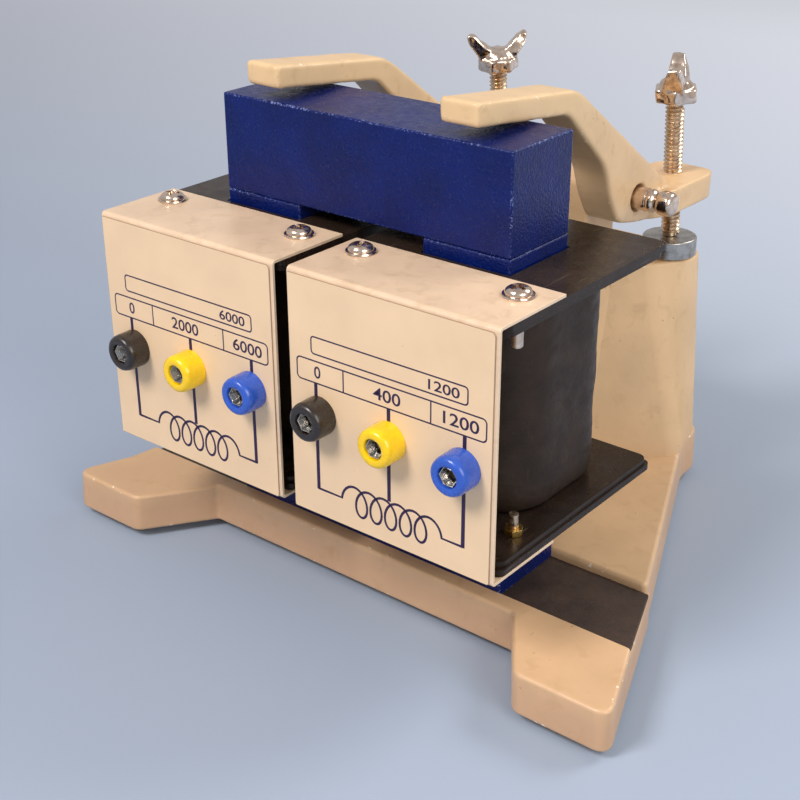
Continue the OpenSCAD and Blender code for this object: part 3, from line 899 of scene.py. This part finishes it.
class TRANSFORMER_OT_windings(bpy.types.Operator):
    """Taped windings, wavy where the tape dips"""
    bl_idname = "transformer.windings"
    bl_label = "Taped windings"

    def execute(self, context):
        wave = sizes().tape_wave / MM
        for side in SIDES:
            node = side + "_winding"
            low, high = span(node)
            x, y, r = (high.x - low.x) / 2, (high.y - low.y) / 2, 19.5
            tall = high.z - low.z
            start = 7 if side == "left" else 0      # sets the two coils' waves apart
            bm = outline([(x, y, r), (-x, y, r), (-x, -y, r), (x, -y, r)], 16)
            long = [e for e in bm.edges if e.calc_length() > 5]
            bmesh.ops.subdivide_edges(bm, edges=long, cuts=9)
            raised(bm, tall)
            upright = [e for e in bm.edges
                       if abs(e.verts[0].co.z - e.verts[1].co.z) > 5]
            bmesh.ops.subdivide_edges(bm, edges=upright, cuts=48, use_grid_fill=True)
            bmesh.ops.recalc_face_normals(bm, faces=bm.faces)
            for vert in bm.verts:
                out = Vector((vert.co.x, vert.co.y, 0)).normalized()
                h = vert.co.z
                dip = ripple(out.x * 1.3, out.y * 1.3, h * 0.075 + start)
                fine = ripple(out.x * 4, out.y * 4, h * 0.35 + 20)
                ends = max(0, 1 - min(h, tall - h) / 4) ** 2
                vert.co -= out * (wave * dip + 0.22 * fine + 1.6 * ends)
            spot = middle(node)
            set_down(bm, spot.x, spot.y, low.z)
            piece(side + "_taped_coil", [bm], side + "_coil", "tape", [node],
                  sharp=60)
        return {"FINISHED"}


class TRANSFORMER_OT_covers(bpy.types.Operator):
    """Folded sheet covers in front of the coils"""
    bl_idname = "transformer.covers"
    bl_label = "Sheet covers"

    def execute(self, context):
        bend = sizes().sheet_bend / MM
        for side in SIDES:
            low, high = span(side + "_cover")
            deep, tall, t = high.y - low.y, high.z - low.z, 1.0
            fold = slab([(0, 0, bend), (deep, 0), (deep, t), (t, t, bend - t),
                         (t, tall - t, bend - t), (deep, tall - t),
                         (deep, tall), (0, tall, bend)],
                        high.x - low.x, low, SIDEWAYS, 0.18, 2, 50)
            piece(side + "_sheet_cover", [fold], side + "_coil", "sheet",
                  [side + "_cover"])
        return {"FINISHED"}


class TRANSFORMER_OT_panels(bpy.types.Operator):
    """Printed plates: number frames, leads and the coil's symbol"""
    bl_idname = "transformer.panels"
    bl_label = "Printed panels"

    def execute(self, context):
        heavy, thin = sizes().print_line / MM, sizes().thin_line / MM
        tall = sizes().figure / MM
        foot, head, row = 77.0, 84.1, 80.6      # lower frame, and its figures' middle
        west, east, wire = -27.5, 27.7, 41.1    # outer leads, and where they turn in
        for side, tap, tap_from, tap_to, total in (
                ("left", "2000", -7.6, 4.6, "6000"), ("right", "400", -5.2, 4.9, "1200")):
            low, high = span(side + "_label")
            left, right, base, top = low.x + 0.2, high.x - 0.9, low.z + 0.4, high.z - 1.2
            plate = slab([(left, base, 0.6), (right, base, 0.9), (right, top, 1.4),
                          (left, top, 0.6)],
                         high.y - low.y, (0, high.y, 0), FACING, 0.2, 2, 60)
            piece(side + "_panel_plate", [plate], side + "_coil", "panel",
                  [side + "_label"])
            symbol = coil_symbol(-13.1, 41.6)
            upper = frame_line(-28.9, 28.5, 86.4, 91.9, 1.1)
            lower = frame_line(-34.8, 35.0, foot, head, 1.4)
            dividers = [([(a, foot), (a, head)], False) for a in (-16.6, 15.8)]
            risers = [([(a, b), (a, foot)], False)
                      for a, b in ((west, 40.8), (0.5, 46.4), (east, 40.8))]
            run = ([(west, wire), (symbol[0][0], wire)] + symbol
                   + [(symbol[-1][0], wire), (east, wire)], False)
            inked = merged([
                strokes([upper, lower] + dividers, thin),
                strokes(risers, heavy),
                strokes([run], heavy * 0.64),
                figures("0", tall, -28.0, -25.5, row),
                figures(tap, tall, tap_from, tap_to, row),
                figures(total, tall, 20.1, 32.5, row),
                figures(total, tall * 0.82, 14.8, 25.7, 89.1)])
            set_down(inked, (low.x + high.x) / 2, low.y - INK * 0.6, PAD_Z, FACING)
            piece(side + "_panel_print", [inked], side + "_coil", "ink",
                  even=False)
        return {"FINISHED"}


class TRANSFORMER_OT_sockets(bpy.types.Operator):
    """Moulded collars and the metal liners inside them"""
    bl_idname = "transformer.sockets"
    bl_label = "Sockets"

    def execute(self, context):
        for side in SIDES:
            panel = span(side + "_label")[0].y
            for shade_name in HUES:
                node = f"{side}_collar_{shade_name}"
                spot = middle(node)
                out = panel - span(node)[0].y
                collar = turned([
                    (6.25, 0.05), (6.3, 0.4), (6.25, out - 2.4), (6.15, out - 1.4),
                    (5.85, out - 0.6), (5.3, out - 0.12), (4.7, out), (3.75, out - 0.05),
                    (3.4, out - 0.25), (3.25, out - 0.7), (3.25, 0.05)], 56, ring=True)
                set_down(collar, spot.x, panel, spot.z, FACING)
                piece(node + "_moulded", [collar], side + "_coil", shade_name,
                      [node], sharp=40)
                node = f"{side}_socket_{shade_name}"
                liner = turned([
                    (3.22, -4), (3.22, out - 1.0), (3.1, out - 0.9), (2.95, out - 1.0),
                    (2.85, out - 1.6), (2.1, out - 3.6), (2.0, out - 4.4), (2.0, -3),
                    (1.6, -3.6), (0, -3.8), (0, -8), (1.5, -8.2), (1.5, -4)], 6)
                nut = slab(hexagon(5.77), 2.4, (0, 0, -4), None, 0.3, 2)
                both = merged([liner, nut])
                set_down(both, spot.x, panel, spot.z, FACING)
                piece(node + "_liner", [both], side + "_coil", "bright",
                      [node], sharp=35)
        return {"FINISHED"}


class TRANSFORMER_OT_fasteners(bpy.types.Operator):
    """Cover screws, their washers and the brass nuts below"""
    bl_idname = "transformer.fasteners"
    bl_label = "Screws and nuts"

    def execute(self, context):
        for side in SIDES:
            body = side + "_coil"
            for end, turn in (("a", 25), ("b", -20)):
                node = f"{side}_top_screw_{end}"
                spot = middle(node)
                seat = span(side + "_cover")[1].z
                washer = turned([(2, 0), (4.75, 0), (4.9, 0.3), (4.7, 0.75), (4.2, 0.85),
                                 (2, 0.85)], 48, ring=True)
                head = turned([(0, 0.5), (3.7, 0.6), (4.0, 0.9), (3.95, 1.5), (3.6, 2.1),
                               (2.9, 2.6), (1.9, 2.85), (0, 2.9)], 40)
                shaft = turned([(0, -15.4), (1.6, -15.4), (1.95, -14.9), (1.95, 0.6),
                                (0, 0.6)], 24)
                whole = merged([washer, crossed(head, 2.9), shaft])
                set_down(whole, spot.x, spot.y, seat, about_z(turn))
                piece(node + "_phillips", [whole], body, "nickel", [node],
                      sharp=38)
                nut = f"{side}_low_nut_{end}"
                piece(nut + "_hex", [softened(nut, 0.3)], body, "brass", [nut])
                recoat(f"{side}_low_screw_{end}", "thread")
            for shade_name in HUES:
                recoat(f"{side}_lead_{shade_name}", "rubber")
        return {"FINISHED"}


def crossed(head, top):
    """Sinks a cross recess into a screw head."""
    slots = []
    for turn in (0, 90):
        slot = outline([(-3.1, -0.6), (3.1, -0.6), (3.1, 0.6), (-3.1, 0.6)])
        raised(slot, 3)
        for vert in slot.verts:      # the recess tapers as it goes down
            if vert.co.z < 0.1:
                vert.co.x *= 0.5
                vert.co.y *= 0.8
        slots.append(set_down(slot, z=top - 2.3, turn=about_z(turn)))
    return bored(head, slots)


def bored(solid, tools):
    """Cuts tools out of a solid, one after the other."""
    host = bare("host", [solid])
    for shape in tools:
        tool = bare("tool", [shape])
        step = host.modifiers.new("Bore", "BOOLEAN")
        step.object = tool
        step.operation = "DIFFERENCE"
        step.solver = "EXACT"
        baked(host)
        bpy.data.objects.remove(tool)
    return taken_back(host)


def recast(name, shells, voxel, smooth, lumps, grain):
    """Fuses closed shells into one skin, as a casting comes from its mould."""
    made = bare(name, shells)
    skin = made.modifiers.new("Skin", "REMESH")
    skin.mode = "VOXEL"
    skin.voxel_size = voxel * MM
    baked(made)
    bm = taken_back(made)
    for _ in range(smooth):
        bmesh.ops.smooth_vert(
            bm, verts=bm.verts, factor=0.5, use_axis_x=True, use_axis_y=True,
            use_axis_z=True)
    bm.normal_update()
    rim = bm.faces.layers.float["rim"]
    for face in bm.faces:            # marks the edges, where enamel wears first
        face[rim] = float(max(e.calc_face_angle(0) for e in face.edges) > 0.2)
    for vert in bm.verts:
        vert.co += vert.normal * lumps * noise.noise(vert.co / grain)
    return bm


class TRANSFORMER_OT_arms(bpy.types.Operator):
    """Cast clamp arms with their hubs and screw plates"""
    bl_idname = "transformer.arms"
    bl_label = "Clamp arms"

    def execute(self, context):
        voxel = sizes().cast_voxel / MM
        for side, way in (("left", -1), ("right", 1)):
            node = side + "_arm"
            low, high = span(node)
            x = way * ARM_X
            bar = slab([
                (-94.9, 43.4), (-46.9, 37.7, 2.5), (-22.9, 15.8, 4), (-18.4, 3.8, 3),
                (-12.6, -5.9, 3), (-1.5, -8.9, 4), (6, -9.8, 2), (22, -9.6),
                (22, 0.0, 3), (-38.2, 42.3, 2.5), (-43.2, 44.9, 2.5), (-95.2, 51.0)],
                14, (x - 7, PIN.y, PIN.z), SIDEWAYS, 1.3)
            hole = turned([(0, -20), (4.9, -20), (4.9, 20), (0, 20)], 40)
            bar = bored(bar, [set_down(hole, x, PIN.y, PIN.z, SIDEWAYS)])
            w = (high.x - low.x) / 2
            plate = slab([(-7, 12.4), (-7, 6, 2), (7, 6, 3), (w - 0.3, 15.5, 4),
                          (w, 44, 4), (w - 3.4, 48.7, 4), (-w + 4, 48.9, 4),
                          (-w, 44.6, 4), (-w, 17, 4)][::-1], 9.3, (0, 0, 0), None, 1.2)
            if way < 0:
                bmesh.ops.scale(plate, vec=(-1, 1, 1), verts=plate.verts)
                bmesh.ops.reverse_faces(plate, faces=plate.faces)
            set_down(plate, x, PIN.y, PIN.z - 9.75)
            skin = recast(node, [bar, plate], voxel, 3, 0.16, 9.0)
            piece(node + "_casting", [skin], node, "cast", [node],
                  sharp=70, even=False)
        return {"FINISHED"}


class TRANSFORMER_OT_clamp_screws(bpy.types.Operator):
    """Threaded shanks and the wing heads on top of them"""
    bl_idname = "transformer.clamp_screws"
    bl_label = "Wing screws"

    def execute(self, context):
        lean = Matrix.Rotation(SCREW_LEAN, 3, "X")
        # the last number is how far each wing head was last turned, in degrees
        for side, way, turn in (("left", -1, 35), ("right", 1, 108)):
            foot = Vector((way * ARM_X, PIN.y + 36.3, PIN.z - 0.4))
            low, high = span(side + "_shank")
            tip = (low.z - foot.z) / math.cos(SCREW_LEAN)
            up = (high.z - foot.z) / math.cos(SCREW_LEAN) - 4.2
            shank = threaded(tip + 0.4, up, radius=3.5, pitch=1.5)
            point = turned([(0, tip + 0.15), (2.0, tip + 0.15), (2.75, tip + 1.0),
                            (2.75, tip + 1.6), (0, tip + 1.6)], 24)
            stub = turned([(0, up - 0.5), (2.45, up - 0.5), (2.45, up + 3.9),
                           (0, up + 3.9)], 24)
            whole = merged([shank, point, stub])
            set_down(whole, *foot, lean)
            piece(side + "_threaded_shank", [whole], side + "_screw", "thread",
                  [side + "_shank"], sharp=50, even=False)
            head = wing_head()
            set_down(head, 0, 0, up, about_z(turn))
            set_down(head, *foot, lean)
            piece(side + "_wing_head", [head], side + "_head", "nickel",
                  [side + "_wing"], sharp=60, even=False)
        return {"FINISHED"}


def threaded(start, end, radius, pitch):
    """A core with one helical ridge round it."""
    root = radius - 0.75
    inner, crest = root - 0.12, radius - 0.08
    steps = 20
    turns = int((end - start) / pitch) - 1
    ridge = new_mesh()
    ring = [ridge.verts.new((r, 0, start + h)) for r, h in (
        (inner, 0), (crest, pitch * 0.42), (crest, pitch * 0.58), (inner, pitch))]
    edges = [ridge.edges.new((ring[i], ring[(i + 1) % 4])) for i in range(4)]
    out = bmesh.ops.spin(
        ridge, geom=ring + edges, cent=(0, 0, 0), axis=(0, 0, 1),
        dvec=(0, 0, pitch / steps), angle=math.tau * turns, steps=steps * turns,
        use_merge=False)
    bmesh.ops.contextual_create(ridge, geom=edges)
    last = [g for g in out["geom_last"] if isinstance(g, bmesh.types.BMEdge)]
    bmesh.ops.contextual_create(ridge, geom=last)
    bmesh.ops.recalc_face_normals(ridge, faces=ridge.faces)
    core = turned([(0, start), (root, start), (root, end), (0, end)], 32)
    return merged([ridge, core])


def wing_head():
    """A lobed collar with two thick wings, fused like a casting."""
    collar = turned([(0, 0.1), (5.6, 0.1), (6.3, 0.6), (6.5, 4.4), (5.9, 6.0),
                     (5.0, 7.2), (3.4, 8.2), (0, 8.5)], 24)
    facets = slab(hexagon(8.1, 12, 0.8), 4.9, (0, 0, 0.2), None, 0.6, 2)
    shells = [collar, facets]
    for way in (-1, 1):
        wing = slab([
            (way * 0.5, 3.0), (way * 6.3, 3.4, 1.2), (way * 7.4, 6.2, 2),
            (way * 10.9, 10.9, 2), (way * 11.6, 13.2, 1.2), (way * 10.2, 14.4, 1.2),
            (way * 7.6, 13.0, 2), (way * 4.6, 9.6, 2), (way * 2.2, 8.0, 1.5),
            (way * 0.1, 7.8)][::way], 7.8, (0, 3.9, 0), FACING, 1.3, 2)
        for vert in wing.verts:      # the wings thin and twist to their tips
            out = min(1.0, max(0.0, vert.co.z - 5) / 9)
            vert.co.y = vert.co.y * (1 - 0.42 * out) + way * 1.2 * out
        shells.append(wing)
    return recast("wing", shells, 0.3, 4, 0.5, 3.4)


class TRANSFORMER_OT_stage(bpy.types.Operator):
    """Plain floor, soft studio light and the camera"""
    bl_idname = "transformer.stage"
    bl_label = "Stage"

    def execute(self, context):
        scene = context.scene
        scene.view_settings.view_transform = "Standard"
        floor = new_mesh()
        bmesh.ops.create_grid(floor, x_segments=8, y_segments=8, size=2500)
        ground = bare("studio_floor", [floor])
        ground.data.materials.append(floor_paint())
        scene.world = world_light()
        for name, where, aim, size, power, tint in LAMPS:
            lamp = bpy.data.lights.new(name, "AREA")
            lamp.shape = "DISK"
            lamp.size = size
            lamp.energy = power
            lamp.color = tint
            made = placed(name, lamp)
            made.location = where
            made.rotation_euler = (Vector(aim) - Vector(where)).to_track_quat(
                "-Z", "Y").to_euler()
        camera = bpy.data.cameras.new("camera")
        camera.lens = LENS
        camera.sensor_width = 36
        camera.clip_start = 0.01
        made = placed("camera", camera)
        right, back, up = CAMERA_PLACE
        turn, tilt, roll = (math.radians(v) for v in CAMERA_ANGLES)
        made.matrix_world = (
            Matrix.Translation(Vector((right + CORE.x, back + CORE.y, up + PAD_Z)) * MM)
            @ Matrix.Rotation(turn, 4, "Z")
            @ Matrix.Rotation(math.pi / 2 - tilt, 4, "X")
            @ Matrix.Rotation(roll, 4, "Z"))
        scene.camera = made
        return {"FINISHED"}


# fitted to the photograph's straight edges
LENS = 62.66
CAMERA_PLACE = (269.2, -328.8, 253.0)      # mm from the middle of the core's foot
CAMERA_ANGLES = (38.92, 25.80, -0.18)      # turn, tilt down and roll, in degrees

# name, place and aim in metres, size in metres, watts, colour
LAMPS = (
    ("key", (-0.2, -0.85, 0.95), (0, 0, 0.1), 0.45, 11.3, (1.0, 0.93, 0.88)),
    ("fill", (0.95, -0.35, 0.6), (0, 0, 0.08), 0.7, 5.7, (1.0, 0.97, 0.9)),
    ("rear", (0.55, 0.8, 0.95), (0, 0, 0.1), 0.6, 6.8, (1.0, 0.98, 0.95)),
)


def seen_itself(tree):
    """1 for rays that show the background, and 0 for those that light the object."""
    ray = tree.nodes.new("ShaderNodeLightPath")
    seen = ray.outputs["Is Camera Ray"]
    for kind in ("Glossy", "Transmission"):
        either = tree.nodes.new("ShaderNodeMath")
        either.operation = "MAXIMUM"
        tree.links.new(seen, either.inputs[0])
        tree.links.new(ray.outputs[f"Is {kind} Ray"], either.inputs[1])
        seen = either.outputs[0]
    return seen


def floor_paint():
    """Plain floor with painted light: paler towards the back of the room, and glowing
    there for the rays that see it.
    """
    f = Finish("floor_paint", 0.75)
    f.color(f.ramp(f.axis("Y"), (0.0, colors().floor), (1.0, linear(214, 219, 230))))
    # painted light: the far floor glows for the rays that see it, in place of light on the
    # backdrop
    far = f.joined(f.ramp(f.axis("Y"), (0.1, 0.0), (0.9, 0.22)),
                   f.ramp(f.axis("X"), (0.06, 0.0), (0.4, 0.13)), "ADD")
    f.link(f.joined(seen_itself(f.tree), far), f.shader.inputs["Emission Strength"])
    f.shader.inputs["Emission Color"].default_value = (*linear(232, 236, 244), 1)
    return f.material


def world_light():
    world = bpy.data.worlds.new("studio")
    world.use_nodes = True
    tree = world.node_tree
    back = tree.nodes["Background"]
    back.inputs["Color"].default_value = (*linear(216, 213, 214), 1)
    strength = tree.nodes.new("ShaderNodeMath")
    strength.operation = "MULTIPLY_ADD"
    strength.inputs[1].default_value = 0.3      # paler where it is seen itself
    strength.inputs[2].default_value = 0.5
    tree.links.new(seen_itself(tree), strength.inputs[0])
    tree.links.new(strength.outputs[0], back.inputs["Strength"])
    return world


class TRANSFORMER_PT_sidebar(bpy.types.Panel):
    """Sizes, colours and builders of the transformer"""
    bl_idname = "TRANSFORMER_PT_sidebar"
    bl_label = "Dissectible transformer"
    bl_space_type = "VIEW_3D"
    bl_region_type = "UI"
    bl_category = "Transformer"

    def draw(self, context):
        for group in (context.scene.transformer_sizes, context.scene.transformer_colors):
            box = self.layout.box()
            for key in group.__annotations__:
                box.prop(group, key)
        for maker in OPERATORS:
            self.layout.operator(maker.bl_idname)


OPERATORS = (
    TRANSFORMER_OT_stand, TRANSFORMER_OT_pad, TRANSFORMER_OT_feet,
    TRANSFORMER_OT_pin, TRANSFORMER_OT_discs, TRANSFORMER_OT_core,
    TRANSFORMER_OT_bobbins, TRANSFORMER_OT_windings, TRANSFORMER_OT_covers,
    TRANSFORMER_OT_panels, TRANSFORMER_OT_sockets, TRANSFORMER_OT_fasteners,
    TRANSFORMER_OT_arms, TRANSFORMER_OT_clamp_screws, TRANSFORMER_OT_stage)
CLASSES = (TransformerSizes, TransformerColors, *OPERATORS, TRANSFORMER_PT_sidebar)


def register():
    for entry in CLASSES:
        bpy.utils.register_class(entry)
    bpy.types.Scene.transformer_sizes = PointerProperty(type=TransformerSizes)
    bpy.types.Scene.transformer_colors = PointerProperty(type=TransformerColors)


def unregister():
    del bpy.types.Scene.transformer_colors
    del bpy.types.Scene.transformer_sizes
    for entry in reversed(CLASSES):
        bpy.utils.unregister_class(entry)


def main():
    register()
    for maker in OPERATORS:
        getattr(bpy.ops.transformer, maker.bl_idname.split(".")[1])()


if __name__ == "__main__":
    main()
